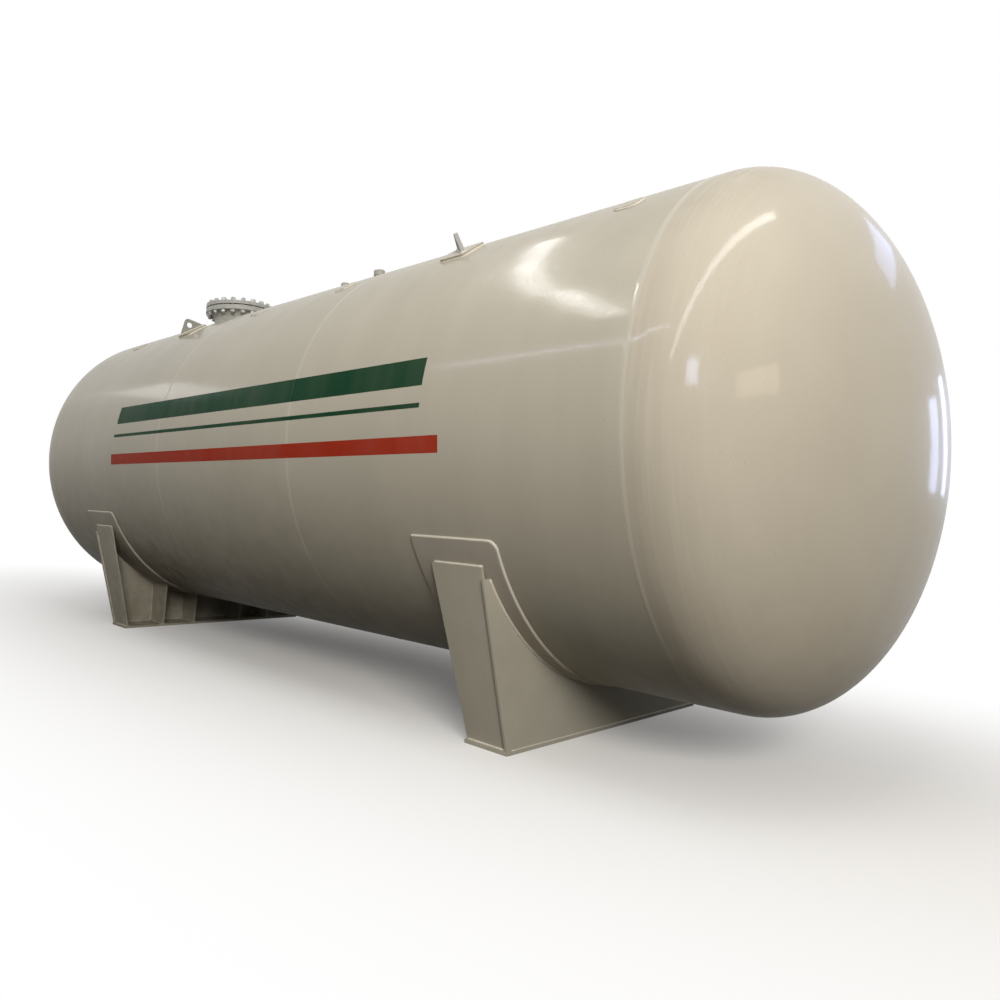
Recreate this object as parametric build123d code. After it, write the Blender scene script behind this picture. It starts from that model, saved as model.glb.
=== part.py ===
from build123d import *
import math
import os

# Horizontal welded pressure tank on two saddles.
# Millimetres. +X runs along the tank axis, +Z is up, and the origin is on the
# floor below the middle of the tank.

# Vessel
SHELL_INNER_RADIUS = 1400.0
SHELL_WALL = 16.0
TANGENT_LENGTH = 6840.0          # between the two head tangent lines
HEAD_STRAIGHT_FLANGE = 60.0
HEAD_INNER_DEPTH = 700.0         # two to one elliptical
MIDDLE_COURSE_LENGTH = 1870.0
GIRTH_WELD_WIDTH = 30.0
GIRTH_WELD_CROWN = 1.0
GIRTH_WELD_SHOULDER = 4.0        # from its middle, where the bead begins to slope
GIRTH_WELD_SHOULDER_SHARE = 0.8  # of the crown
FLOOR_CLEARANCE = 284.0          # below the shell

# Manway on the top line, built outward from its neck
MANWAY_INSET = 1330.0            # from the left tangent line
MANWAY_NECK_RADIUS = 265.0
MANWAY_NECK_WALL = 14.0
MANWAY_PAD_WIDTH = 135.0
MANWAY_PAD_THICKNESS = 16.0
MANWAY_HUB_STEP = 20.0           # hub beyond the neck, at the back of the flange
MANWAY_HUB_HEIGHT = 52.0
MANWAY_BOLT_ROOM = 40.0          # hub to bolt circle
MANWAY_RIM = 32.5                # bolt circle to edge
MANWAY_FACE_INSET = 30.0         # bolt circle to the edge of the raised face
MANWAY_FACE_HEIGHT = 4.0
MANWAY_FLANGE_THICKNESS = 44.0
MANWAY_FLANGE_HEIGHT = 180.0     # flange top above the top line of the shell
MANWAY_GASKET_THICKNESS = 4.0
MANWAY_GASKET_INSET = 4.0        # inside the edge of the raised face
MANWAY_COVER_THICKNESS = 34.0
MANWAY_BOLT_COUNT = 20
MANWAY_STUD_RADIUS = 15.0
MANWAY_STUD_CLEARANCE = 1.5      # stud to its hole, all round
MANWAY_STUD_END = 6.0            # stud beyond each nut
MANWAY_NUT_FLATS = 46.0
MANWAY_NUT_HEIGHT = 28.0
MANWAY_NUT_CHAMFER = 30.0        # degrees

# Capped pipe stubs on the top line: name, X, pipe radius, cap radius, cap top above the shell
STUB_WALL = 6.0
STUB_CAP_HEIGHT = 48.0
STUB_CAP_CHAMFER = 6.0
STUB_CAP_ROOF = 10.0
STUBS = (
    ("small_nozzle", -315.0, 30.0, 37.0, 162.0),
    ("large_nozzle", 147.0, 40.0, 48.0, 184.0),
)

# Square pads in an even row along each shoulder of the shell
PAD_COUNT = 6
PAD_LEFT_INSET = 655.0           # from the tangent line to the middle of the outermost pad
PAD_RIGHT_INSET = 425.0
PAD_ANGLE = 34.0                 # degrees down from the top line
PAD_WIDTH = 130.0
PAD_THICKNESS = 10.0
PAD_CORNER_RADIUS = 35.0

# Lifting lugs, each on a larger pad that takes the second place from its end of the row
LUG_PAD_WIDTH = 222.0
LUG_PAD_THICKNESS = 20.0
LUG_THICKNESS = 25.0
LUG_BASE_LENGTH = 240.0
LUG_HEIGHT = 110.0
LUG_HOLE_HEIGHT = 48.0
LUG_HOLE_RADIUS = 26.0
LUG_APEX_RADIUS = 32.0
LUG_TURN = 45.0                  # degrees between the plate and the tank axis
LUG_ROOT = 40.0

# Saddles
SADDLE_INSET = 912.0             # from the tangent line to the web's outer face
SADDLE_WEB_THICKNESS = 16.0
SADDLE_WEB_STEP = 60.0           # web's top edge below the end plates' top edge
SADDLE_BASE_THICKNESS = 20.0
SADDLE_BASE_MARGIN = 5.0         # base plate beyond the web and the ribs
SADDLE_BASE_OVERHANG = 20.0      # base plate beyond each end plate
SADDLE_RIB_WIDTH = 272.0         # at the base plate
SADDLE_RIB_LEAN = 5.0            # degrees, the ribs widen going up
SADDLE_END_THICKNESS = 16.0
SADDLE_END_INSET = 15.0          # web edge beyond the end plate's face
SADDLE_END_LEAN = 14.8           # degrees, the end plates lean outward
SADDLE_HORN_ANGLE = 60.0         # degrees from the bottom line
SADDLE_RIB_THICKNESS = 14.0
SADDLE_RIB_OFFSETS = (270.0, 615.0)
WEAR_PLATE_THICKNESS = 12.0
WEAR_PLATE_ANGLE = 132.0
WEAR_PLATE_LENGTH = 593.0
WEAR_PLATE_OUTWARD = 103.0       # beyond the web's outer face
WEAR_PLATE_CORNER_RADIUS = 45.0
ANCHOR_INSET = 197.5             # anchor hole to the end plate's foot
ANCHOR_HOLE_RADIUS = 14.0
ANCHOR_SLOT_LENGTH = 60.0

SHELL_OUTER_RADIUS = SHELL_INNER_RADIUS + SHELL_WALL
WEAR_PLATE_RADIUS = SHELL_OUTER_RADIUS + WEAR_PLATE_THICKNESS
LUG_PAD_RADIUS = SHELL_OUTER_RADIUS + LUG_PAD_THICKNESS
HALF_SHELL = TANGENT_LENGTH / 2 - HEAD_STRAIGHT_FLANGE
AXIS_HEIGHT = SHELL_OUTER_RADIUS + FLOOR_CLEARANCE
FLOOR = -AXIS_HEIGHT
BASE_TOP = FLOOR + SADDLE_BASE_THICKNESS
SADDLE_WEB_X = TANGENT_LENGTH / 2 - SADDLE_INSET
PAD_PITCH = (TANGENT_LENGTH - PAD_LEFT_INSET - PAD_RIGHT_INSET) / (PAD_COUNT - 1)
MANWAY_X = MANWAY_INSET - TANGENT_LENGTH / 2
MANWAY_FLANGE_TOP = SHELL_OUTER_RADIUS + MANWAY_FLANGE_HEIGHT
MANWAY_HUB_RADIUS = MANWAY_NECK_RADIUS + MANWAY_HUB_STEP
MANWAY_BOLT_CIRCLE_RADIUS = MANWAY_HUB_RADIUS + MANWAY_BOLT_ROOM
MANWAY_BOLT_HOLE_RADIUS = MANWAY_STUD_RADIUS + MANWAY_STUD_CLEARANCE
MANWAY_FLANGE_RADIUS = MANWAY_BOLT_CIRCLE_RADIUS + MANWAY_RIM
MANWAY_FACE_RADIUS = MANWAY_BOLT_CIRCLE_RADIUS - MANWAY_FACE_INSET
MANWAY_GASKET_RADIUS = MANWAY_FACE_RADIUS - MANWAY_GASKET_INSET
MANWAY_PAD_RADIUS = MANWAY_NECK_RADIUS + MANWAY_PAD_WIDTH
CUTTER = 2 * SHELL_OUTER_RADIUS  # long enough to pass through any plate
NEAR_ZERO = 0.01

pieces = {}


def keep(name, shape):
    """Store a piece after lifting it from the tank axis to the floor frame."""
    pieces[name] = Pos(0, 0, AXIS_HEIGHT) * shape


def along_x(radius, length, x_middle):
    return Pos(x_middle, 0, 0) * Rot(0, 90, 0) * Cylinder(radius, length)


def tube_x(inner, outer, length, x_middle):
    return along_x(outer, length, x_middle) - along_x(inner, length, x_middle)


def curved_plate(x_middle, length, thickness, middle_angle, sweep, corner, both_ends=True):
    """Plate rolled to the shell, its corners rounded; angles in degrees from the top line."""
    middle_radius = SHELL_OUTER_RADIUS + thickness / 2
    face = Plane.XZ * Pos(x_middle, middle_radius) * Rectangle(length, thickness)
    plate = revolve(face, axis=Axis.X, revolution_arc=sweep)
    corners = plate.edges().filter_by(lambda e: abs(e.length - thickness) < NEAR_ZERO)
    if not both_ends:
        corners = corners.filter_by(lambda e: e.center().X > x_middle)
    plate = fillet(corners, corner)
    return Rot(middle_angle - sweep / 2, 0, 0) * plate


def turned_profile(points, x=0.0, z=0.0):
    """Solid of revolution about a vertical axis from (radius, height) points."""
    face = make_face(Plane.XZ * Polyline(*points, close=True))
    return Pos(x, 0, z) * revolve(face, axis=Axis.Z)


# Shell courses with the openings for the manway neck and the pipe stubs
neck_hole = Pos(MANWAY_X, 0, CUTTER / 2) * Cylinder(MANWAY_NECK_RADIUS, CUTTER)
side_course = HALF_SHELL - MIDDLE_COURSE_LENGTH / 2
side_middle = MIDDLE_COURSE_LENGTH / 2 + side_course / 2
course_left = tube_x(SHELL_INNER_RADIUS, SHELL_OUTER_RADIUS, side_course, -side_middle)
course_middle = tube_x(SHELL_INNER_RADIUS, SHELL_OUTER_RADIUS, MIDDLE_COURSE_LENGTH, 0)
course_right = tube_x(SHELL_INNER_RADIUS, SHELL_OUTER_RADIUS, side_course, side_middle)
course_left -= neck_hole
for name, x, pipe_radius, cap_radius, rise in STUBS:
    course_middle -= Pos(x, 0, CUTTER / 2) * Cylinder(pipe_radius, CUTTER)
keep("shell_course_left", course_left)
keep("shell_course_middle", course_middle)
keep("shell_course_right", course_right)


# Elliptical heads with a short straight flange
def head():
    tangent = TANGENT_LENGTH / 2
    outer_depth = HEAD_INNER_DEPTH + SHELL_WALL
    with BuildPart() as dome:
        with BuildSketch(Plane.XZ):
            with BuildLine():
                EllipticalCenterArc((tangent, 0), outer_depth, SHELL_OUTER_RADIUS,
                                    start_angle=0, arc_size=90)
                Line((tangent, SHELL_OUTER_RADIUS), (HALF_SHELL, SHELL_OUTER_RADIUS))
                Line((HALF_SHELL, SHELL_OUTER_RADIUS), (HALF_SHELL, SHELL_INNER_RADIUS))
                Line((HALF_SHELL, SHELL_INNER_RADIUS), (tangent, SHELL_INNER_RADIUS))
                EllipticalCenterArc((tangent, 0), HEAD_INNER_DEPTH, SHELL_INNER_RADIUS,
                                    start_angle=0, arc_size=90)
                Line((tangent + HEAD_INNER_DEPTH, 0), (tangent + outer_depth, 0))
            make_face()
        revolve(axis=Axis.X)
    return dome.part


head_right = head()
keep("head_right", head_right)
keep("head_left", mirror(head_right, about=Plane.YZ))


# Weld beads around the shell where its courses and heads meet
def girth_weld(x):
    crest = SHELL_OUTER_RADIUS + GIRTH_WELD_CROWN
    shoulder = SHELL_OUTER_RADIUS + GIRTH_WELD_SHOULDER_SHARE * GIRTH_WELD_CROWN
    half = GIRTH_WELD_WIDTH / 2
    outline = Polyline((x - half, SHELL_OUTER_RADIUS), (x + half, SHELL_OUTER_RADIUS),
                       (x + GIRTH_WELD_SHOULDER, shoulder), (x, crest),
                       (x - GIRTH_WELD_SHOULDER, shoulder), close=True)
    return revolve(Plane.XZ * make_face(outline), axis=Axis.X)


seam_places = (-HALF_SHELL, -MIDDLE_COURSE_LENGTH / 2, MIDDLE_COURSE_LENGTH / 2, HALF_SHELL)
keep("girth_welds", Part() + [girth_weld(x) for x in seam_places])

# Manway: reinforcing pad, neck, weld neck flange, gasket and cover
bore_radius = MANWAY_NECK_RADIUS - MANWAY_NECK_WALL
pad_ring = Cylinder(MANWAY_PAD_RADIUS, CUTTER) - Cylinder(MANWAY_NECK_RADIUS, CUTTER)
pad_shell = tube_x(SHELL_OUTER_RADIUS, SHELL_OUTER_RADIUS + MANWAY_PAD_THICKNESS, CUTTER, MANWAY_X)
keep("manway_pad", pad_shell & (Pos(MANWAY_X, 0, CUTTER / 2) * pad_ring))

flange_back = MANWAY_FLANGE_TOP - MANWAY_FLANGE_THICKNESS
hub_foot = flange_back - MANWAY_HUB_HEIGHT
neck_tube = Cylinder(MANWAY_NECK_RADIUS, hub_foot) - Cylinder(bore_radius, hub_foot)
neck = Pos(MANWAY_X, 0, hub_foot / 2) * neck_tube
keep("manway_neck", neck - along_x(SHELL_INNER_RADIUS, CUTTER, MANWAY_X))

bolt_places = PolarLocations(MANWAY_BOLT_CIRCLE_RADIUS, MANWAY_BOLT_COUNT,
                             start_angle=180 / MANWAY_BOLT_COUNT)
bolt_cutter = Part() + bolt_places * Cylinder(MANWAY_BOLT_HOLE_RADIUS, CUTTER)
face_top = MANWAY_FLANGE_TOP + MANWAY_FACE_HEIGHT
flange = turned_profile([
    (bore_radius, hub_foot),
    (MANWAY_NECK_RADIUS, hub_foot),
    (MANWAY_HUB_RADIUS, flange_back),
    (MANWAY_FLANGE_RADIUS, flange_back),
    (MANWAY_FLANGE_RADIUS, MANWAY_FLANGE_TOP),
    (MANWAY_FACE_RADIUS, MANWAY_FLANGE_TOP),
    (MANWAY_FACE_RADIUS, face_top),
    (bore_radius, face_top),
])
flange -= Pos(0, 0, MANWAY_FLANGE_TOP) * bolt_cutter
keep("manway_flange", Pos(MANWAY_X, 0, 0) * flange)

gasket_ring = Cylinder(MANWAY_GASKET_RADIUS, MANWAY_GASKET_THICKNESS)
gasket_ring -= Cylinder(bore_radius, MANWAY_GASKET_THICKNESS)
keep("manway_gasket", Pos(MANWAY_X, 0, face_top + MANWAY_GASKET_THICKNESS / 2) * gasket_ring)

cover_face = face_top + MANWAY_GASKET_THICKNESS
cover_bottom = cover_face + MANWAY_FACE_HEIGHT
cover_top = cover_bottom + MANWAY_COVER_THICKNESS
cover = turned_profile([
    (0, cover_face),
    (MANWAY_FACE_RADIUS, cover_face),
    (MANWAY_FACE_RADIUS, cover_bottom),
    (MANWAY_FLANGE_RADIUS, cover_bottom),
    (MANWAY_FLANGE_RADIUS, cover_top),
    (0, cover_top),
])
cover -= Pos(0, 0, cover_bottom) * bolt_cutter
keep("manway_cover", Pos(MANWAY_X, 0, 0) * cover)


# Studs with a nut at each end, seated on the cover and on the back of the flange
def nut():
    corner_radius = MANWAY_NUT_FLATS / math.sqrt(3)
    flat_radius = MANWAY_NUT_FLATS / 2
    drop = (corner_radius - flat_radius) * math.tan(math.radians(MANWAY_NUT_CHAMFER))
    turned = turned_profile([
        (0, 0),
        (corner_radius, 0),
        (corner_radius, MANWAY_NUT_HEIGHT - drop),
        (flat_radius, MANWAY_NUT_HEIGHT),
        (0, MANWAY_NUT_HEIGHT),
    ])
    return turned & extrude(RegularPolygon(corner_radius, 6), amount=MANWAY_NUT_HEIGHT)


stud_foot = flange_back - MANWAY_NUT_HEIGHT - MANWAY_STUD_END
stud_top = cover_top + MANWAY_NUT_HEIGHT + MANWAY_STUD_END
stud = Pos(0, 0, (stud_foot + stud_top) / 2) * Cylinder(MANWAY_STUD_RADIUS, stud_top - stud_foot)
stud += Pos(0, 0, cover_top) * nut()
stud += Pos(0, 0, flange_back) * mirror(nut(), about=Plane.XY)
keep("manway_studs", Pos(MANWAY_X, 0, 0) * (Part() + bolt_places * stud))

# Pipe stubs with screwed caps
for name, x, pipe_radius, cap_radius, rise in STUBS:
    cap_top = SHELL_OUTER_RADIUS + rise
    pipe_end = cap_top - STUB_CAP_ROOF
    pipe = Cylinder(pipe_radius, pipe_end) - Cylinder(pipe_radius - STUB_WALL, pipe_end)
    pipe = Pos(x, 0, pipe_end / 2) * pipe
    keep(name + "_pipe", pipe - along_x(SHELL_INNER_RADIUS, CUTTER, x))
    keep(name + "_cap", turned_profile([
        (0, pipe_end),
        (pipe_radius, pipe_end),
        (pipe_radius, cap_top - STUB_CAP_HEIGHT),
        (cap_radius, cap_top - STUB_CAP_HEIGHT),
        (cap_radius, cap_top - STUB_CAP_CHAMFER),
        (cap_radius - STUB_CAP_CHAMFER, cap_top),
        (0, cap_top),
    ], x))


# Shoulder pads, and the lugs that stand across the corners of theirs
def shoulder_pad(x, width, thickness):
    arc = math.degrees(width / SHELL_OUTER_RADIUS)
    return curved_plate(x, width, thickness, PAD_ANGLE, arc, PAD_CORNER_RADIUS)


def lug(x):
    """Lug on the near shoulder, turned so that its upper end points to the tank's middle."""
    lean = math.radians(PAD_ANGLE)
    turn = math.radians(LUG_TURN)
    outward = Vector(0, -math.sin(lean), math.cos(lean))
    over = Vector(0, math.cos(lean), math.sin(lean))
    along = Vector(-math.copysign(math.cos(turn), x), 0, 0) + over * math.sin(turn)
    foot = outward * LUG_PAD_RADIUS + Vector(x, 0, 0)
    half = LUG_BASE_LENGTH / 2
    outline = [
        Edge.make_circle(LUG_APEX_RADIUS, Plane((0, LUG_HEIGHT - LUG_APEX_RADIUS, 0))),
        Edge.make_line((-half, -LUG_ROOT), (half, -LUG_ROOT)),
        Edge.make_line((-half, 0), (half, 0)),
    ]
    plate = make_hull(outline) - Pos(0, LUG_HOLE_HEIGHT) * Circle(LUG_HOLE_RADIUS)
    plane = Plane(origin=foot, x_dir=along, z_dir=along.cross(outward))
    body = extrude(plane * plate, amount=LUG_THICKNESS / 2, both=True)
    return body - along_x(LUG_PAD_RADIUS, CUTTER, x)


def keep_on_both_sides(start, end, shape):
    keep(f"{start}_near_{end}", shape)
    keep(f"{start}_far_{end}", mirror(shape, about=Plane.XZ))


for place in range(PAD_COUNT):
    x = PAD_LEFT_INSET - TANGENT_LENGTH / 2 + place * PAD_PITCH
    with_lug = place in (1, PAD_COUNT - 2)
    width = LUG_PAD_WIDTH if with_lug else PAD_WIDTH
    thickness = LUG_PAD_THICKNESS if with_lug else PAD_THICKNESS
    keep_on_both_sides("pad", str(place + 1), shoulder_pad(x, width, thickness))
    if with_lug:
        keep_on_both_sides("lug", "left" if x < 0 else "right", lug(x))


# Saddles: the web stands on the outer side, the ribs on the side towards the tank's middle
def saddle(slotted):
    parts = {}
    horn = math.radians(SADDLE_HORN_ANGLE)
    end_top_y = WEAR_PLATE_RADIUS * math.sin(horn) + SADDLE_END_THICKNESS
    end_top_z = -WEAR_PLATE_RADIUS * math.cos(horn)
    lean = math.tan(math.radians(SADDLE_END_LEAN))
    end_foot_y = end_top_y - lean * (end_top_z - BASE_TOP)
    web_inner = SADDLE_WEB_X - SADDLE_WEB_THICKNESS

    base_width = SADDLE_WEB_THICKNESS + SADDLE_RIB_WIDTH + 2 * SADDLE_BASE_MARGIN
    base_length = 2 * (end_foot_y + SADDLE_BASE_OVERHANG)
    base_middle = SADDLE_WEB_X + SADDLE_BASE_MARGIN - base_width / 2
    base = Box(base_width, base_length, SADDLE_BASE_THICKNESS)
    anchor_y = end_foot_y - ANCHOR_INSET
    for y in (-anchor_y, anchor_y):
        if slotted:
            straight = ANCHOR_SLOT_LENGTH - 2 * ANCHOR_HOLE_RADIUS
            hole = extrude(SlotCenterToCenter(straight, 2 * ANCHOR_HOLE_RADIUS),
                           amount=SADDLE_BASE_THICKNESS, both=True)
        else:
            hole = Cylinder(ANCHOR_HOLE_RADIUS, 2 * SADDLE_BASE_THICKNESS)
        base -= Pos(0, y, 0) * hole
    parts["base"] = Pos(base_middle, 0, FLOOR + SADDLE_BASE_THICKNESS / 2) * base

    bore = along_x(WEAR_PLATE_RADIUS, CUTTER, SADDLE_WEB_X)
    web_foot_y = end_foot_y + SADDLE_END_INSET
    web_top_z = end_top_z - SADDLE_WEB_STEP
    web_top_y = web_foot_y + lean * (web_top_z - BASE_TOP)
    outline = Polyline((-web_foot_y, BASE_TOP), (web_foot_y, BASE_TOP),
                       (web_top_y, web_top_z), (-web_top_y, web_top_z), close=True)
    web = extrude(Plane.YZ * make_face(outline), amount=SADDLE_WEB_THICKNESS)
    parts["web"] = Pos(web_inner, 0, 0) * web - bore

    # Space that the ribs and end plates fill: straight at the web, leaning at the other edge
    rise = end_top_z - BASE_TOP
    top_width = SADDLE_RIB_WIDTH + math.tan(math.radians(SADDLE_RIB_LEAN)) * rise
    section = Polyline((web_inner, BASE_TOP), (web_inner - SADDLE_RIB_WIDTH, BASE_TOP),
                       (web_inner - top_width, end_top_z), (web_inner, end_top_z), close=True)
    space = extrude(Plane.XZ * make_face(section), amount=CUTTER, both=True) - bore

    end_outline = Polyline((-end_foot_y, BASE_TOP), (-end_top_y, end_top_z),
                           (SADDLE_END_THICKNESS - end_top_y, end_top_z),
                           (SADDLE_END_THICKNESS - end_foot_y, BASE_TOP), close=True)
    end_bar = extrude(Plane.YZ * make_face(end_outline), amount=CUTTER)
    end_near = (Pos(web_inner - CUTTER, 0, 0) * end_bar) & space
    parts["end_near"] = end_near
    parts["end_far"] = mirror(end_near, about=Plane.XZ)

    ribs = []
    for offset in SADDLE_RIB_OFFSETS:
        bar = Box(CUTTER, SADDLE_RIB_THICKNESS, CUTTER)
        rib = (Pos(web_inner - CUTTER / 2, -offset, BASE_TOP) * bar) & space
        ribs += [rib, mirror(rib, about=Plane.XZ)]
    parts["ribs"] = Part() + ribs
    return parts


for name, shape in saddle(False).items():
    keep("saddle_right_" + name, shape)
for name, shape in saddle(True).items():
    keep("saddle_left_" + name, mirror(shape, about=Plane.YZ))

# Wear plates between the saddles and the shell, alike, with rounded corners at one end only
wear_x = SADDLE_WEB_X + WEAR_PLATE_OUTWARD - WEAR_PLATE_LENGTH / 2
for end, x in (("left", -wear_x), ("right", wear_x)):
    plate = curved_plate(x, WEAR_PLATE_LENGTH, WEAR_PLATE_THICKNESS, 180, WEAR_PLATE_ANGLE,
                         WEAR_PLATE_CORNER_RADIUS, both_ends=False)
    keep(f"saddle_{end}_wear_plate", plate)

os.makedirs("parts", exist_ok=True)
for name, shape in pieces.items():
    export_step(shape, f"parts/{name}.step")
print(len(pieces), "pieces")
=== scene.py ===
# %% [markdown]
# # A horizontal pressure tank, dressed for its picture
# The tank's solids come from a CAD model. They are loaded here as a fixed frame,
# in metres, with +X along the tank and +Z up. Blender adds what a solid model lacks:
# paint, weld beads, light and a camera.

# %% The frame and its box
import bpy
import bmesh
import math
from mathutils import Matrix, Vector, noise


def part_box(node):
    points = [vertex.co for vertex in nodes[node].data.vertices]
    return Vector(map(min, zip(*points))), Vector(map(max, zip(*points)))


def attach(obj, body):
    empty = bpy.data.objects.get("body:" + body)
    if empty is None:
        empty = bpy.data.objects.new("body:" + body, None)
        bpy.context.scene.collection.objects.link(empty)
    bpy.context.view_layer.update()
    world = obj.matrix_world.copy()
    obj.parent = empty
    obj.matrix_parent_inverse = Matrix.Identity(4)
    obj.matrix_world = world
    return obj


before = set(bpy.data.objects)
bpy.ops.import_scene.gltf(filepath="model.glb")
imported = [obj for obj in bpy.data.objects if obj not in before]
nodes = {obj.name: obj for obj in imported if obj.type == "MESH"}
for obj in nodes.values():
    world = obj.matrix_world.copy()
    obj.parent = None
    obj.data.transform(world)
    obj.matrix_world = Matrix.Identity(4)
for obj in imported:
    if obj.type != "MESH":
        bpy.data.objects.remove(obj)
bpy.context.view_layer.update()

# %% [markdown]
# The shell is a cylinder between two dished heads. Its radius and the height of its
# axis are read from the solids, so that everything below fits them.

# %% Shell radius and axis height
course_low, course_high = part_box("shell_course_middle")
SHELL_RADIUS = (course_high.z - course_low.z) / 2
AXIS_HEIGHT = (course_high.z + course_low.z) / 2
print("shell radius", round(SHELL_RADIUS, 4), "axis height", round(AXIS_HEIGHT, 4))

# %% [markdown]
# ## Camera
# The camera stands in front of the near end, about half a metre below the tank's axis,
# and looks along it. A real picture is often cropped, so the lens axis isn't in the
# middle of the frame: the shift moves the frame sideways without turning the camera,
# which would bend the perspective.

# %% Camera
CAMERA_PLACE = Vector((5.1288, -4.3086, 1.2479))
CAMERA_YAW = 0.8435             # radians, from +Y towards -X
CAMERA_PITCH = 0.0478           # radians, upward
CAMERA_ROLL = 0.0449            # radians, about the line of sight
FOCAL_SHARE = 0.78148           # focal length over the frame's width
SENSOR_WIDTH = 36.0             # millimetres
FRAME_SHIFT = (0.1186, -0.026)  # in widths of the frame
VIEW_LIMIT = 400                # metres, far enough for the whole floor

forward = Vector((-math.sin(CAMERA_YAW) * math.cos(CAMERA_PITCH),
                  math.cos(CAMERA_YAW) * math.cos(CAMERA_PITCH), math.sin(CAMERA_PITCH)))
level_right = Vector((math.cos(CAMERA_YAW), math.sin(CAMERA_YAW), 0))
level_up = level_right.cross(forward)
right = math.cos(CAMERA_ROLL) * level_right + math.sin(CAMERA_ROLL) * level_up
up = -math.sin(CAMERA_ROLL) * level_right + math.cos(CAMERA_ROLL) * level_up

lens = bpy.data.cameras.new("camera")
lens.sensor_width = SENSOR_WIDTH
lens.lens = FOCAL_SHARE * SENSOR_WIDTH
lens.shift_x, lens.shift_y = FRAME_SHIFT
lens.clip_end = VIEW_LIMIT
camera = bpy.data.objects.new("camera", lens)
camera_turn = Matrix((right, up, -forward)).transposed()
camera.matrix_world = Matrix.Translation(CAMERA_PLACE) @ camera_turn.to_4x4()
bpy.context.scene.collection.objects.link(camera)
bpy.context.scene.camera = camera
bpy.context.scene.view_settings.view_transform = "Standard"
print("lens", round(lens.lens, 2), "mm")

# %% [markdown]
# ## Finishes
# A colour picker shows sRGB values, while the renderer counts in linear light. One
# function turns a hex colour into linear values, one starts a material, and one adds a
# shader node with its settings and links, so that each recipe below stays short.

# %% Helpers for materials
MM = 0.001

# Sockets of a Mix node that mixes colours: the second one's share, both colours, the result
SHARE, FIRST, SECOND, MIXED = 0, 6, 7, 2


def linear(code):
    """Linear colour with alpha from a hex code such as '#C8C4B4'."""
    values = [int(code[i:i + 2], 16) / 255 for i in (1, 3, 5)]
    return [v / 12.92 if v <= 0.04045 else ((v + 0.055) / 1.055) ** 2.4 for v in values] + [1.0]


def start_material(name):
    """A material with no nodes yet, and its node tree."""
    material = bpy.data.materials.new(name)
    material.use_nodes = True
    material.node_tree.nodes.clear()
    return material, material.node_tree


def add(tree, kind, inputs=None, **settings):
    """Add a node. Its inputs take values or sockets, by name or by number."""
    made = tree.nodes.new(kind)
    for name, value in settings.items():
        setattr(made, name, value)
    for name, value in (inputs or {}).items():
        if isinstance(value, bpy.types.NodeSocket):
            tree.links.new(value, made.inputs[name])
        else:
            made.inputs[name].default_value = value
    return made


print("#808080 is", round(linear("#808080")[0], 3), "in linear light")

# %% [markdown]
# ### Enamel, layer by layer
# The tank wears a light warm grey enamel, sprayed over primer on rolled steel. To the
# eye it is a smooth glossy skin with a faint orange peel, slow changes of tone where
# the spray passes overlap and a film of dust on whatever faces up. Its colour also
# carries painted shade, along the top and low down. A painted image could show all
# this from one side. Noise at real sizes shows it from every side and never repeats,
# so each layer is a short function that adds its nodes.
#
# The tone comes first: slow clouds, and spray passes that run around the shell. A pass
# is noise that is counted more slowly across the axis, which draws its patches out.

# %% Sprayed tone
CLOUD_SIZE = 900 * MM
PASS_WIDTH = 260 * MM
PASS_DRAWN_OUT = 0.12     # how slowly the noise is counted around the shell


def sprayed_tone(tree, place, tone, shade):
    """Two tones mixed by clouds and passes. Returns the colour and the passes."""
    cloud = add(tree, "ShaderNodeTexNoise", {"Vector": place, "Scale": 1 / CLOUD_SIZE,
                                             "Detail": 4.0, "Roughness": 0.55})
    stretched = add(tree, "ShaderNodeMapping", {
        "Vector": place, "Scale": (1.0, PASS_DRAWN_OUT, PASS_DRAWN_OUT)})
    passes = add(tree, "ShaderNodeTexNoise", {"Vector": stretched.outputs["Vector"],
                                              "Scale": 1 / PASS_WIDTH, "Detail": 3.0})
    both = add(tree, "ShaderNodeMath", {0: cloud.outputs["Fac"], 1: passes.outputs["Fac"]},
               operation="ADD")
    share = add(tree, "ShaderNodeMapRange", {"Value": both.outputs["Value"],
                                             "From Min": 0.7, "From Max": 1.3})
    colour = add(tree, "ShaderNodeMix", {SHARE: share.outputs["Result"], FIRST: linear(tone),
                                         SECOND: linear(shade)}, data_type="RGBA")
    return colour.outputs[MIXED], passes.outputs["Fac"]


print("spray passes", round(PASS_WIDTH / MM), "mm wide")

# %% [markdown]
# Three painted stripes run along the near side. A stripe could be a strip of mesh, but
# paint has no thickness that the eye sees, so it is a question asked at every point:
# how many degrees below the top line is it, and how far along the tank? Where both
# answers fall inside a stripe, the colour changes, a little less where the paint wore.

# %% Painted stripes
GREEN, RED = "#083F24", "#AE3520"
# Colour, first and last angle in degrees below the top line, first and last X in metres
BANDS = ((GREEN, 74.0, 80.5, -1.80, 2.15),
         (GREEN, 84.4, 85.5, -1.82, 2.15),
         (RED, 91.7, 95.5, -1.85, 2.30))


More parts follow.
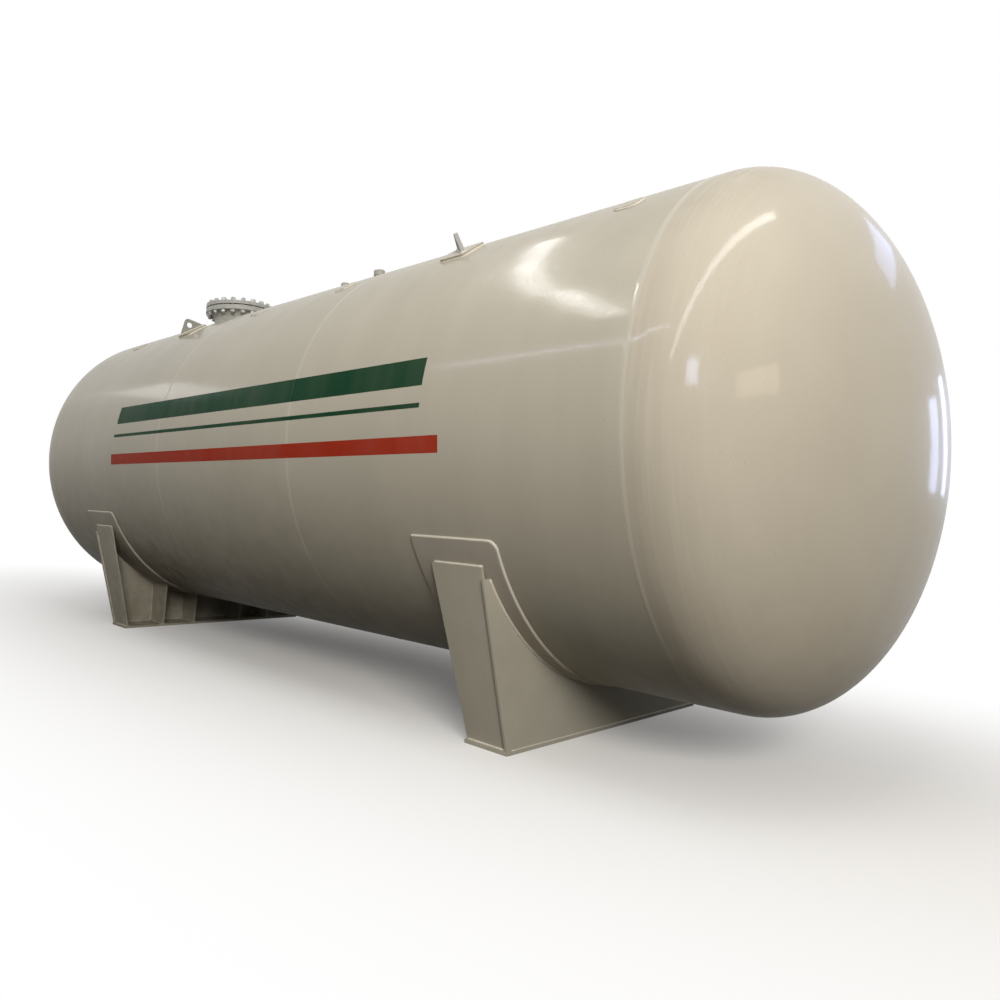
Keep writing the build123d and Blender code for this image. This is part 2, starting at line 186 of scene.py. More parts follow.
def stripes(tree, axes, passes, colour, bands):
    """Paint bands over a colour. Returns it with a mask: 1 in a band and 0 elsewhere."""
    level = add(tree, "ShaderNodeMath", {0: axes["Z"], 1: AXIS_HEIGHT}, operation="SUBTRACT")
    outward = add(tree, "ShaderNodeMath", {0: axes["Y"], 1: -1.0}, operation="MULTIPLY")
    angle = add(tree, "ShaderNodeMath", {0: outward.outputs["Value"],
                                         1: level.outputs["Value"]}, operation="ARCTAN2")
    worn = add(tree, "ShaderNodeMapRange", {"Value": passes, "From Min": 0.75,
                                            "From Max": 0.35, "To Min": 0.93, "To Max": 1.0})
    mask = 0.0
    for paint, first, last, left, right in bands:
        around = add(tree, "ShaderNodeMath", {
            0: angle.outputs["Value"], 1: math.radians((first + last) / 2),
            2: math.radians((last - first) / 2)}, operation="COMPARE")
        along = add(tree, "ShaderNodeMath", {0: axes["X"], 1: (left + right) / 2,
                                             2: (right - left) / 2}, operation="COMPARE")
        inside = add(tree, "ShaderNodeMath", {0: around.outputs["Value"],
                                              1: along.outputs["Value"]}, operation="MULTIPLY")
        share = add(tree, "ShaderNodeMath", {0: inside.outputs["Value"],
                                             1: worn.outputs["Result"]}, operation="MULTIPLY")
        colour = add(tree, "ShaderNodeMix", {SHARE: share.outputs["Value"], FIRST: colour,
                                             SECOND: linear(paint)},
                     data_type="RGBA").outputs[MIXED]
        mask = add(tree, "ShaderNodeMath", {0: mask, 1: inside.outputs["Value"]},
                   operation="ADD").outputs["Value"]
    return colour, mask


print(len(BANDS), "stripes")

# %% [markdown]
# A tank that stands for months gets dusty and speckled, and this layer also carries
# painted shade. Dust settles where the surface faces up, so the normal's Z decides; on
# the shell and the heads its colour is a dark brown that paints shade along the top.
# Painted shade darkens the paint low down, so the height decides, and more towards the
# far end, where less light falls. Specks lie everywhere. One noise makes the dust and the
# painted shade patchy in the same places.

# %% Dust, painted shade and specks
DIRT_AND_SHADE_PATCH = 150 * MM
# Painted shade: a dark colour mixed in low down and towards the far end, in patches
LOW_SHADE, LOW_SHADE_TOP, LOW_SHADE_FULL = "#6E6657", 1.7, 0.1   # colour, and heights in metres
LOW_SHADE_LEAST_X, LOW_SHADE_MOST_X = 2.2, -1.5              # metres along the tank
SPECK = "#5A5145"
SPECK_SIZE = 9 * MM      # a real speck is 1 or 2 mm: drawn larger so that it shows


def dirt_and_shade(tree, place, axes, facing_up, colour, dust_and_top_shade, low_shade_strength):
    """Lay dust, painted shade and specks on a colour. Returns it with the film of dust and top
    shade, and the patches.
    """
    patches = add(tree, "ShaderNodeTexNoise", {"Vector": place, "Scale": 1 / DIRT_AND_SHADE_PATCH,
                                               "Detail": 8.0, "Roughness": 0.65}).outputs["Fac"]
    top_share = add(tree, "ShaderNodeMapRange", {"Value": facing_up, "From Min": 0.55,
                                              "From Max": 1.0, "To Max": 0.8})
    dust_and_shade_film = add(tree, "ShaderNodeMath", {0: top_share.outputs["Result"], 1: patches},
               operation="MULTIPLY").outputs["Value"]
    low = add(tree, "ShaderNodeMapRange", {"Value": axes["Z"], "From Min": LOW_SHADE_TOP,
                                           "From Max": LOW_SHADE_FULL, "To Max": low_shade_strength})
    far_end = add(tree, "ShaderNodeMapRange", {
        "Value": axes["X"], "From Min": LOW_SHADE_LEAST_X, "From Max": LOW_SHADE_MOST_X,
        "To Min": 0.35, "To Max": 1.3})
    shade_share = add(tree, "ShaderNodeMath", {0: low.outputs["Result"],
                                            1: far_end.outputs["Result"]}, operation="MULTIPLY")
    low_shade = add(tree, "ShaderNodeMath", {0: shade_share.outputs["Value"], 1: patches},
                operation="MULTIPLY").outputs["Value"]
    specks = add(tree, "ShaderNodeTexNoise", {"Vector": place, "Scale": 1 / SPECK_SIZE,
                                              "Detail": 1.0})
    speckled = add(tree, "ShaderNodeMapRange", {"Value": specks.outputs["Fac"],
                                                "From Min": 0.74, "From Max": 0.8,
                                                "To Max": 0.35}).outputs["Result"]
    for share, layer in ((dust_and_shade_film, dust_and_top_shade), (low_shade, LOW_SHADE), (speckled, SPECK)):
        colour = add(tree, "ShaderNodeMix", {SHARE: share, FIRST: colour,
                                             SECOND: linear(layer)},
                     data_type="RGBA").outputs[MIXED]
    return colour, dust_and_shade_film, patches


print("dirt in patches of", round(DIRT_AND_SHADE_PATCH / MM), "mm")

# %% [markdown]
# Enamel shines twice: the pigment below is soft and dull, and the clear resin over it is
# sharp. The Principled shader has a coat for the resin. Grit dulls it where the surface
# faces down, so the coat fades there, and the stripes are a duller paint that takes most
# of it away. Dust and dried patches make the paint below rougher.

# %% Gloss
COAT_UNDERSIDE = 0.03     # share of the gloss that is left underneath
COAT_OFF_STRIPES = 0.85   # share of the gloss that a stripe takes away


def gloss_of(tree, facing_up, gloss, mask):
    """Weight of the clear coat. mask is 1 where a stripe lies, or None."""
    clean = add(tree, "ShaderNodeMapRange", {"Value": facing_up, "From Min": -0.5,
                                             "From Max": 0.1, "To Min": COAT_UNDERSIDE,
                                             "To Max": 1.0})
    coat = add(tree, "ShaderNodeMath", {0: clean.outputs["Result"], 1: gloss},
               operation="MULTIPLY").outputs["Value"]
    if mask is None:
        return coat
    return add(tree, "ShaderNodeMath", {0: mask, 1: -COAT_OFF_STRIPES * gloss, 2: coat},
               operation="MULTIPLY_ADD", use_clamp=True).outputs["Value"]


def roughness_of(tree, dust_and_shade_film, patches, roughness):
    """Roughness of the paint below the coat, raised by dust and dried patches."""
    dull = add(tree, "ShaderNodeMath", {0: dust_and_shade_film, 1: 0.35, 2: roughness},
               operation="MULTIPLY_ADD")
    return add(tree, "ShaderNodeMath", {0: patches, 1: 0.12, 2: dull.outputs["Value"]},
               operation="MULTIPLY_ADD").outputs["Value"]


print("gloss left underneath:", COAT_UNDERSIDE)

# %% [markdown]
# The relief is what bends a reflection. A rolled plate is never a perfect cylinder, so it
# wavers slowly, and the sprayed droplets leave an orange peel on top. Both are bump,
# because neither is deep enough to change the outline. The same peel makes the coat's
# roughness uneven, which breaks up the sharp edge of a reflection. A plate that was
# welded on has cut edges, softened by thick paint: the Bevel node rounds them for the
# light alone.

# %% Waver and orange peel
WAVER_SIZE = 500 * MM
PEEL_SIZE = 14 * MM       # real orange peel is 2 to 4 mm across: coarser so that it shows


def relief(tree, place, edge, haze):
    """Returns the bumped normal and the roughness of the coat."""
    peel = add(tree, "ShaderNodeTexNoise", {"Vector": place, "Scale": 1 / PEEL_SIZE,
                                            "Detail": 2.0})
    waver = add(tree, "ShaderNodeTexNoise", {"Vector": place, "Scale": 1 / WAVER_SIZE,
                                             "Detail": 1.0})
    hazy = add(tree, "ShaderNodeMapRange", {"Value": peel.outputs["Fac"], "From Min": 0.35,
                                            "From Max": 0.65, "To Min": 0.4 * haze,
                                            "To Max": 1.6 * haze})
    below = {}
    if edge:
        rounded = add(tree, "ShaderNodeBevel", {"Radius": edge}, samples=4)
        below = {"Normal": rounded.outputs["Normal"]}
    slow = add(tree, "ShaderNodeBump", {"Height": waver.outputs["Fac"], "Strength": 0.5,
                                        "Distance": 3 * MM, **below})
    fine = add(tree, "ShaderNodeBump", {"Height": peel.outputs["Fac"], "Strength": 0.5,
                                        "Distance": 2.0 * haze * MM,
                                        "Normal": slow.outputs["Normal"]})
    return fine.outputs["Normal"], hazy.outputs["Result"]


print("orange peel", round(PEEL_SIZE / MM), "mm across")

# %% [markdown]
# A dished head is pressed, and its edge is turned between rollers, which leaves fine
# rings about the axis. They are noise again, squeezed along the axis and drawn out
# around it: a bump all over, and near the seam a lighter line, painted sheen where the
# marks catch the light.

# %% Turning marks of a head
RING_PITCH = 16 * MM      # real marks lie 3 to 5 mm apart: coarser so that they show
RING_DRAWN_OUT = 0.03
# Painted sheen: the lighter colour of the marks that catch the light near the seam
MARK_SHEEN = "#E6E0D2"
KNUCKLE_OUTER, KNUCKLE_INNER = 3.85, 3.5   # metres from the middle of the tank


def turning_marks(tree, place, axes, colour, normal, rings):
    """Add the marks to a normal and their painted sheen to a colour, and return both."""
    across = add(tree, "ShaderNodeMapping", {
        "Vector": place, "Scale": (1.0, RING_DRAWN_OUT, RING_DRAWN_OUT)})
    marks = add(tree, "ShaderNodeTexNoise", {"Vector": across.outputs["Vector"],
                                             "Scale": 1 / RING_PITCH, "Detail": 2.0})
    bump = add(tree, "ShaderNodeBump", {"Height": marks.outputs["Fac"], "Strength": rings,
                                        "Distance": 0.5 * MM, "Normal": normal})
    from_middle = add(tree, "ShaderNodeMath", {0: axes["X"]}, operation="ABSOLUTE")
    knuckle = add(tree, "ShaderNodeMapRange", {
        "Value": from_middle.outputs["Value"], "From Min": KNUCKLE_OUTER,
        "From Max": KNUCKLE_INNER, "To Max": 0.22 * rings})
    sheen_mark = add(tree, "ShaderNodeMapRange", {"Value": marks.outputs["Fac"],
                                                  "From Min": 0.5, "From Max": 0.7})
    share = add(tree, "ShaderNodeMath", {0: knuckle.outputs["Result"],
                                         1: sheen_mark.outputs["Result"]},
                operation="MULTIPLY")
    colour = add(tree, "ShaderNodeMix", {SHARE: share.outputs["Value"], FIRST: colour,
                                         SECOND: linear(MARK_SHEEN)}, data_type="RGBA")
    return colour.outputs[MIXED], bump.outputs["Normal"]


print("turning marks", round(RING_PITCH / MM), "mm apart")

# %% [markdown]
# The last function puts the layers together. The shader's own specular is nearly off,
# because the coat does the shining: with both, a dark underside would turn milky. An
# index of 1.5 is that of most paints and resins.

# %% Enamel
PAINT_IOR = 1.5


def enamel(name, tone, shade, dust_and_top_shade, roughness, gloss, rings=0.0, edge=0.0, bands=(),
           low_shade_strength=0.8, haze=0.14):
    """Sprayed enamel on steel.

    tone, shade: the two tones that the sprayed coat changes between
    dust_and_top_shade: colour of the dust where it faces up; on the shell and heads a dark one
    that paints shade on top
    roughness: of the pigment below; gloss: weight of the clear coat on top
    rings: strength of a pressed head's turning marks and of their painted sheen
    edge: radius in metres that the light sees on cut edges
    bands: painted stripes
    low_shade_strength: most painted shade that lies low down
    haze: how blurred the coat's reflections are, and how deep its orange peel is
    """
    material, tree = start_material(name)
    place = add(tree, "ShaderNodeTexCoord").outputs["Object"]
    axes = add(tree, "ShaderNodeSeparateXYZ", {"Vector": place}).outputs
    facing = add(tree, "ShaderNodeNewGeometry").outputs["Normal"]
    facing_up = add(tree, "ShaderNodeSeparateXYZ", {"Vector": facing}).outputs["Z"]
    colour, passes = sprayed_tone(tree, place, tone, shade)
    mask = None
    if bands:
        colour, mask = stripes(tree, axes, passes, colour, bands)
    colour, dust_and_shade_film, patches = dirt_and_shade(tree, place, axes, facing_up, colour, dust_and_top_shade, low_shade_strength)
    normal, coat_roughness = relief(tree, place, edge, haze)
    if rings:
        colour, normal = turning_marks(tree, place, axes, colour, normal, rings)
    shader = add(tree, "ShaderNodeBsdfPrincipled", {
        "Base Color": colour, "Roughness": roughness_of(tree, dust_and_shade_film, patches, roughness),
        "IOR": PAINT_IOR, "Specular IOR Level": 0.02,
        "Coat Weight": gloss_of(tree, facing_up, gloss, mask),
        "Coat Roughness": coat_roughness, "Coat IOR": PAINT_IOR,
        "Normal": normal, "Coat Normal": normal})
    add(tree, "ShaderNodeOutputMaterial", {"Surface": shader.outputs["BSDF"]})
    return material


print("index of the paint:", PAINT_IOR)

# %% [markdown]
# One paint, but seven enamels: the eye knows a weld from a plate and a head from a shell
# by small differences in tone, shine and edge, so each kind of piece has its own numbers.

# %% The tank's enamels
# The long side: a quiet greenish grey with the stripes, dust and painted shade on top, painted
# shade low down
shell_enamel = enamel("shell_enamel", "#C8C3B4", "#C0BBAC", "#A3957F", 0.3, 0.42,
                      bands=BANDS, low_shade_strength=1.15)
# The ground welds: a tone lighter than the shell, a painted highlight along each seam, so that
# it is a fine pale line
seam_glint_enamel = enamel("seam_glint_enamel", "#D0CBBD", "#C9C4B6", "#D2CAB9", 0.3, 0.42,
                     bands=BANDS, low_shade_strength=1.15)
# The heads: warmer, with sharper reflections, the turning marks and their painted sheen
# Its dark dust colour, as on the shell, paints shade along the top
head_enamel = enamel("head_enamel", "#CEC7B7", "#C4BCAC", "#A3957F", 0.28, 0.42,
                     rings=0.6, haze=0.09)
# Pads and wear plates: as warm as the heads, with cut edges that catch the light
plate_enamel = enamel("plate_enamel", "#CAC3B6", "#BEB7AA", "#C9C2B0", 0.34, 0.35,
                      edge=2.5 * MM)
# Saddles: a thinner coat, so it is duller and shows little but its edges
saddle_enamel = enamel("saddle_enamel", "#C5C1B3", "#B6B2A4", "#B4AE9C", 0.42, 0.2,
                       edge=3 * MM, low_shade_strength=0.7)
# Weld beads: their round backs face every way; their light tone is a painted highlight that
# makes them glint as lines
weld_glint_enamel = enamel("weld_glint_enamel", "#ECE8DC", "#DDD8CB", "#DAD5C8", 0.3, 0.4)
# Lugs: a cooler grey that paints the cool sky light on them and sets them apart from the shell
# behind them
lug_cool_light_enamel = enamel("lug_cool_light_enamel", "#B9BAB6", "#ACADA8", "#B2AFA5", 0.4, 0.3, edge=3 * MM)
print("enamels:", [made.name for made in bpy.data.materials if made.name.endswith("_enamel")])

# %% [markdown]
# ### Satin paint over turned steel
# The manway's flange and cover are forged, then turned on a lathe and sprayed a neutral
# grey. The grooves run around them and show through the thin paint as fine rings of
# light. So the noise isn't read at the point itself but at its distance from the axis
# and its height, which are the same all the way round, and this closes every ring.

# %% Grey satin paint
EDGE_ROUND = 2 * MM
STAIN_SIZE = 60 * MM
GROOVE_DEPTH = 0.3 * MM

manway_low, manway_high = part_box("manway_cover")
MANWAY_CENTRE = (manway_low + manway_high) / 2


def turned_paint(name, tone, shade, roughness, spacing):
    """Thin satin paint over grooves that turn around the manway's vertical axis."""
    material, tree = start_material(name)
    place = add(tree, "ShaderNodeTexCoord").outputs["Object"]
    local = add(tree, "ShaderNodeVectorMath", {0: place, 1: MANWAY_CENTRE},
                operation="SUBTRACT")
    axes = add(tree, "ShaderNodeSeparateXYZ", {"Vector": local.outputs["Vector"]}).outputs
    flat = add(tree, "ShaderNodeCombineXYZ", {"X": axes["X"], "Y": axes["Y"]})
    radius = add(tree, "ShaderNodeVectorMath", {0: flat.outputs["Vector"]},
                 operation="LENGTH")
    line = add(tree, "ShaderNodeCombineXYZ", {"X": radius.outputs["Value"], "Y": axes["Z"]})
    grooves = add(tree, "ShaderNodeTexNoise", {"Vector": line.outputs["Vector"],
                                               "Scale": 1 / spacing, "Detail": 1.0})
    stains = add(tree, "ShaderNodeTexNoise", {"Vector": place, "Scale": 1 / STAIN_SIZE,
                                              "Detail": 6.0, "Roughness": 0.6})
    share = add(tree, "ShaderNodeMapRange", {"Value": stains.outputs["Fac"],
                                             "From Min": 0.35, "From Max": 0.65})
    colour = add(tree, "ShaderNodeMix", {SHARE: share.outputs["Result"], FIRST: linear(tone),
                                         SECOND: linear(shade)}, data_type="RGBA")
    uneven = add(tree, "ShaderNodeMath", {0: stains.outputs["Fac"], 1: 0.2, 2: roughness},
                 operation="MULTIPLY_ADD")
    rounded = add(tree, "ShaderNodeBevel", {"Radius": EDGE_ROUND}, samples=4)
    bump = add(tree, "ShaderNodeBump", {"Height": grooves.outputs["Fac"], "Strength": 0.3,
                                        "Distance": GROOVE_DEPTH,
                                        "Normal": rounded.outputs["Normal"]})
    shader = add(tree, "ShaderNodeBsdfPrincipled", {
        "Base Color": colour.outputs[MIXED], "Roughness": uneven.outputs["Value"],
        "IOR": PAINT_IOR, "Normal": bump.outputs["Normal"]})
    add(tree, "ShaderNodeOutputMaterial", {"Surface": shader.outputs["BSDF"]})
    return material


# Real grooves lie under half a millimetre apart: drawn 5 and 3 mm apart so that they show
flange_paint = turned_paint("flange_satin_paint", "#C4C5C1", "#B3B4AF", 0.32, 5 * MM)
# The two nozzle caps: darker and duller; they are so small that the manway's axis serves them
cap_paint = turned_paint("cap_satin_paint", "#BEBDB4", "#AEADA3", 0.38, 3 * MM)
print("satin paint on", flange_paint.name, "and", cap_paint.name)

# %% [markdown]
# ### Zinc-plated steel
# The studs and nuts are steel with a thin plate of zinc. A metal has its colour in its
# reflection, and dull zinc reflects a pale broken grey: patches of two greys, uneven in
# roughness, and only partly metallic, because a white bloom soon covers it. The thread
# could be cut in mesh, but forty nuts hide most of it, so rings of bump stand for it.

# %% Zinc plate
ZINC, BLOOM = "#C9C9C6", "#9E9D98"
BLOOM_SIZE = 18 * MM
THREAD_PITCH = 3.5 * MM
THREAD_DEPTH = 0.5 * MM
STUD_EDGE = 1.5 * MM


def zinc_steel(name, pitch):
    """Dull zinc plate. The thread is rings, about two pitches apart so that they show."""
    material, tree = start_material(name)
    place = add(tree, "ShaderNodeTexCoord").outputs["Object"]
    blooms = add(tree, "ShaderNodeTexNoise", {"Vector": place, "Scale": 1 / BLOOM_SIZE,
                                              "Detail": 5.0})
    share = add(tree, "ShaderNodeMapRange", {"Value": blooms.outputs["Fac"],
                                             "From Min": 0.35, "From Max": 0.7})
    colour = add(tree, "ShaderNodeMix", {SHARE: share.outputs["Result"], FIRST: linear(ZINC),
                                         SECOND: linear(BLOOM)}, data_type="RGBA")
    uneven = add(tree, "ShaderNodeMath", {0: blooms.outputs["Fac"], 1: 0.25, 2: 0.3},
                 operation="MULTIPLY_ADD")
    thread = add(tree, "ShaderNodeTexWave", {"Vector": place,
                                             "Scale": 1 / (pitch * 2 * math.pi)},
                 bands_direction="Z")
    rounded = add(tree, "ShaderNodeBevel", {"Radius": STUD_EDGE}, samples=4)
    bump = add(tree, "ShaderNodeBump", {"Height": thread.outputs["Fac"], "Strength": 0.15,
                                        "Distance": THREAD_DEPTH,
                                        "Normal": rounded.outputs["Normal"]})
    shader = add(tree, "ShaderNodeBsdfPrincipled", {
        "Base Color": colour.outputs[MIXED], "Metallic": 0.6,
        "Roughness": uneven.outputs["Value"], "Normal": bump.outputs["Normal"]})
    add(tree, "ShaderNodeOutputMaterial", {"Surface": shader.outputs["BSDF"]})
    return material


stud_steel = zinc_steel("stud_zinc_steel", THREAD_PITCH)
print(stud_steel.name, "for a thread of", THREAD_PITCH / MM, "mm")

# %% [markdown]
# ### Pressed fibre
# The gasket between flange and cover is a sheet of pressed fibre, nearly black and quite
# matt. Only its edge could ever be seen, as a dark line, so two dark greys and a soft
# bump are enough.

# %% Gasket fibre
FIBRE_DARK, FIBRE_LIGHT = "#1B1B1A", "#3A3936"
FIBRE_SIZE = 4 * MM       # real fibres are under a millimetre: coarser so that they show
FIBRE_DEPTH = 0.4 * MM


def pressed_fibre(name):
    """Matt fibre sheet in two dark greys."""
    material, tree = start_material(name)
    place = add(tree, "ShaderNodeTexCoord").outputs["Object"]
    fibres = add(tree, "ShaderNodeTexNoise", {"Vector": place, "Scale": 1 / FIBRE_SIZE,
                                              "Detail": 6.0})
    colour = add(tree, "ShaderNodeMix", {SHARE: fibres.outputs["Fac"],
                                         FIRST: linear(FIBRE_DARK),
                                         SECOND: linear(FIBRE_LIGHT)}, data_type="RGBA")
    bump = add(tree, "ShaderNodeBump", {"Height": fibres.outputs["Fac"], "Strength": 0.34,
                                        "Distance": FIBRE_DEPTH})
    shader = add(tree, "ShaderNodeBsdfPrincipled", {
        "Base Color": colour.outputs[MIXED], "Roughness": 0.85,
        "Normal": bump.outputs["Normal"]})
    add(tree, "ShaderNodeOutputMaterial", {"Surface": shader.outputs["BSDF"]})
    return material


gasket_fibre = pressed_fibre("gasket_fibre")
print(gasket_fibre.name, "with", len(gasket_fibre.node_tree.nodes), "nodes")

# %% [markdown]
# ### Finishes onto the solids
# Each solid keeps its shape and gets its finish through its own material slots. The name
# of a solid says what it is, so a few rules on names dress them all, and a plate that
# no rule names is one of those welded onto the shell.

# %% Dressing the solids
def finish_for(name):
    """The finish of a solid, from its name."""
    if name.startswith("head_"):
        return head_enamel
    if name.startswith("shell_"):
        return shell_enamel
    if name == "girth_welds":
        return seam_glint_enamel
    if name.startswith("saddle_") and not name.endswith("wear_plate"):
        return saddle_enamel
    if name in ("manway_flange", "manway_cover", "manway_neck"):
        return flange_paint
    if name.startswith("lug_"):
        return lug_cool_light_enamel
    if name.endswith("_cap"):
        return cap_paint
    return {"manway_studs": stud_steel, "manway_gasket": gasket_fibre}.get(name, plate_enamel)


for name, solid in nodes.items():
    for material_slot in solid.material_slots:
        material_slot.material = finish_for(name)
print("dressed", len(nodes), "solids")

# %% [markdown]
# ## Weld beads
# Every plate on this tank is joined by a fillet weld: a small triangle of metal laid in
# the corner between two surfaces. It could be a bump, but on the silhouette and in
# raking light a bump fails, so each bead is a real strip of mesh. One function lays a
# bead along a line of points, given the direction that each of its two legs takes.

# %% Bead along a path
BEAD_STEP = 22 * MM
BEAD_BULGE = 0.58         # crown of the bead, as a share of its legs; 0.5 would be flat
BEAD_SHOULDER = (0.86, 0.3)   # between toe and crown, as shares of the two legs
BEAD_ROOT = 0.12          # how far the bead reaches into the corner, as a share of its leg
BEAD_RIPPLE = 0.09        # how much the legs swell and shrink along the bead
RIPPLES_PER_METRE = 25    # one swell in 40 mm


def lay_bead(mesh, path, legs_a, legs_b, leg, closed=False):
    """Add a fillet to a bmesh. path is the inner corner; legs are unit vectors on the plates."""
    far, near = BEAD_SHOULDER
    sections = []
    for point, a, b in zip(path, legs_a, legs_b):
        size = leg * (1 + BEAD_RIPPLE * noise.noise(point * RIPPLES_PER_METRE))
        inner = point - (a + b) * leg * BEAD_ROOT
        offsets = (a * size, (a * far + b * near) * size, (a + b) * BEAD_BULGE * size,
                   (a * near + b * far) * size, b * size)
        sections.append([mesh.verts.new(inner)] + [mesh.verts.new(point + o) for o in offsets])
    sides = len(sections[0])
    count = len(sections)
    for i in range(count if closed else count - 1):
        here, there = sections[i], sections[(i + 1) % count]
        for j in range(sides):
            k = (j + 1) % sides
            face = mesh.faces.new((here[j], there[j], there[k], here[k]))
            face.smooth = 0 < j < sides - 1
    if not closed:
        mesh.faces.new(sections[0])
        mesh.faces.new(reversed(sections[-1]))


def finish_piece(mesh, name, material):
    """Turn a bmesh into an object that rides on the tank."""
    bmesh.ops.recalc_face_normals(mesh, faces=mesh.faces)
    data = bpy.data.meshes.new(name)
    mesh.to_mesh(data)
    mesh.free()
    data.materials.append(material)
    piece = bpy.data.objects.new(name, data)
    bpy.context.scene.collection.objects.link(piece)
    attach(piece, "root")
    print(name, len(data.polygons), "faces")
    return piece


print("a bead has a section every", round(BEAD_STEP / MM), "mm")

# %% [markdown]
# ### Beads round the curved plates
# The wear plates of the saddles and the twelve pads on the shoulders are rectangles
# with rounded corners, rolled to the shell, and a lug's foot is a long thin one, turned
# across its pad. Each outline is drawn flat, as length and arc, and then wrapped on the
# cylinder that it stands on, which is how such a plate is made.

# %% Outline wrapped on the shell
CORNER_STEPS = 6          # sections in the quarter circle of a corner


def on_shell(x, angle, radius):
    """Point at an angle in radians from the top line; positive is the near side."""
    return Vector((x, -radius * math.sin(angle), AXIS_HEIGHT + radius * math.cos(angle)))


def rounded_outline(half_x, half_arc, corner, left_corner):
    """Points and outward directions of a flat rounded rectangle, in order."""
    out = []
    for sx, sy, start in ((1, 1, 0), (-1, 1, 90), (-1, -1, 180), (1, -1, 270)):
        radius = corner if sx > 0 else left_corner
        middle = Vector((sx * (half_x - radius), sy * (half_arc - radius)))
        for step in range(CORNER_STEPS + 1):
            t = math.radians(start + 90 / CORNER_STEPS * step)
            away = Vector((math.cos(t), math.sin(t)))
            out.append((middle + away * radius, away))
    filled = []
    for (p, a), (q, b) in zip(out, out[1:] + out[:1]):
        cuts = max(1, round((q - p).length / BEAD_STEP))
        filled += [(p.lerp(q, i / cuts), a.lerp(b, i / cuts).normalized()) for i in range(cuts)]
    return filled


def bead_round_plate(mesh, x, angle, radius, half_x, half_arc, corner, leg, turned=0.0,
                     left_corner=None):
    """Bead round a plate that stands on a cylinder; turned is in radians."""
    spin = Matrix.Rotation(turned, 2)
    path, legs_a, legs_b = [], [], []
    for flat, away in rounded_outline(half_x, half_arc, corner, left_corner or corner):
        flat, away = spin @ flat, spin @ away
        around = angle + flat.y / radius
        path.append(on_shell(x + flat.x, around, radius))
        tangent = Vector((0, -math.cos(around), -math.sin(around)))
        legs_a.append(Vector((away.x, 0, 0)) + tangent * away.y)
        legs_b.append(Vector((0, -math.sin(around), math.cos(around))))
    lay_bead(mesh, path, legs_a, legs_b, leg, closed=True)


print("a corner has", CORNER_STEPS, "steps")

# %% [markdown]
# The pads are square, so half their length along the tank is also half their arc. Two
# in each row are larger and thicker and carry a lug, which stands across them at 45
# degrees.

# %% Beads of the pads and lugs
PAD_ANGLE = math.radians(34.0)
PAD_CORNER = 35 * MM
PAD_LEG = 8 * MM
LUG_PAD_RADIUS = SHELL_RADIUS + 20 * MM
LUG_HALF_BASE = 120 * MM
LUG_HALF_THICKNESS = 12.5 * MM
LUG_TURN = math.radians(45)
LUG_LEG = 9 * MM
SQUARE_CORNER = 1 * MM
pad_beads = bmesh.new()
for name in nodes:
    low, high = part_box(name)
    middle = (low.x + high.x) / 2
    half = (high.x - low.x) / 2
    side = 1 if "_near_" in name else -1
    if name.startswith("pad_"):
        bead_round_plate(pad_beads, middle, side * PAD_ANGLE, SHELL_RADIUS, half, half,
                         PAD_CORNER, PAD_LEG)
    if name.startswith("lug_"):
        bead_round_plate(pad_beads, middle, side * PAD_ANGLE, LUG_PAD_RADIUS, LUG_HALF_BASE,
                         LUG_HALF_THICKNESS, SQUARE_CORNER, LUG_LEG,
                         turned=side * math.copysign(LUG_TURN, middle))
finish_piece(pad_beads, "pad_welds", weld_glint_enamel)

# %% [markdown]
# A wear plate spreads the saddle's load over the shell. It wraps 132 degrees of the
# underside. Its corners are rounded at the end towards +X and square at the other.

# %% Beads of the wear plates
WEAR_HALF_ARC = math.radians(66) * SHELL_RADIUS
WEAR_CORNER = 45 * MM
WEAR_LEG = 9 * MM
wear_beads = bmesh.new()
for end in ("left", "right"):
    low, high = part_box(f"saddle_{end}_wear_plate")
    bead_round_plate(wear_beads, (low.x + high.x) / 2, math.pi, SHELL_RADIUS,
                     (high.x - low.x) / 2, WEAR_HALF_ARC, WEAR_CORNER, WEAR_LEG,
                     left_corner=SQUARE_CORNER)
finish_piece(wear_beads, "wear_plate_welds", weld_glint_enamel)

# %% [markdown]
# ### Beads on the saddles
# The plates of a saddle meet along straight lines, except where the web follows the
# wear plate. A straight bead needs only its two ends, cut into short steps so that it
# ripples like the others. One saddle is laid out by its sizes, and the other is its
# mirror image. First the web, against the wear plate and against the base.

# %% Beads of the web
web_low, web_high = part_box("saddle_right_web")
base_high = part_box("saddle_right_base")[1]
BASE_TOP = base_high.z
WEAR_RADIUS = SHELL_RADIUS + 12 * MM
WEB_HALF_SWEEP = math.radians(57.2)
WEB_HALF_FOOT = 0.97
WEB_LEG = 9 * MM
WEB_FOOT_LEGS = (5 * MM, 8 * MM)     # on the web's outer and inner face


def bead_along(mesh, start, end, leg_a, leg_b, leg):
    """Straight bead from start to end, with one direction for each leg."""
    start, end = Vector(start), Vector(end)
    count = max(2, round((end - start).length / BEAD_STEP))
    path = [start.lerp(end, i / count) for i in range(count + 1)]
    lay_bead(mesh, path, [Vector(leg_a)] * (count + 1), [Vector(leg_b)] * (count + 1), leg)


